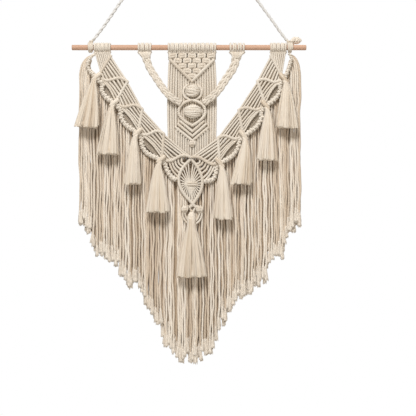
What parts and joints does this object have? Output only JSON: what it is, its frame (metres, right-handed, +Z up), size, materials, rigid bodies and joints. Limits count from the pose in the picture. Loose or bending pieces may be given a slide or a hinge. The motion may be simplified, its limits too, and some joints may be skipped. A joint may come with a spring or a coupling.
{
  "type": "macrame wall hanging on a wooden rod",
  "caption": "Knotted cotton wall hanging on a round wooden rod, with two zigzag wings, a panel of knots, a leaf, tassels and a long pointed fringe.",
  "frame": {"origin": "where the hanging cord bears on its wall hook, at the underside of the cord's top", "axes": "+Z up, +X along the rod to the right as seen from the front, and the front faces -Y"},
  "size_m": [0.478, 0.0362, 0.9205],
  "materials": {
    "rod_wood": "smooth bare wood, warm tan",
    "hanging_cord_cotton": "plied cotton cord, light grey white",
    "knotted_cotton": "single-strand cotton cord, natural ivory, matt",
    "fringe_cotton": "loose cotton cord with combed ends, natural ivory, matt",
    "tassel_cotton": "combed cotton yarn, warm cream, matt"
  },
  "bodies": {
    "root": {"rod": "rod_wood", "hanging_cord": "hanging_cord_cotton", "cord_knot_left": "knotted_cotton", "cord_knot_right": "knotted_cotton", "cord_tail": "knotted_cotton", "wing_left": "knotted_cotton", "wing_right": "knotted_cotton", "centre_panel": "knotted_cotton", "braid_left": "knotted_cotton", "braid_right": "knotted_cotton", "leaf_motif": "knotted_cotton", "fringe_left": "fringe_cotton", "fringe_right": "fringe_cotton", "fringe_centre": "fringe_cotton", "fringe_back": "fringe_cotton", "tassel_1": "tassel_cotton", "tassel_2": "tassel_cotton", "tassel_3": "tassel_cotton", "tassel_4": "tassel_cotton", "tassel_5": "tassel_cotton", "tassel_6": "tassel_cotton", "tassel_7": "tassel_cotton", "tassel_8": "tassel_cotton", "tassel_9": "tassel_cotton"}
  },
  "joints": []
}
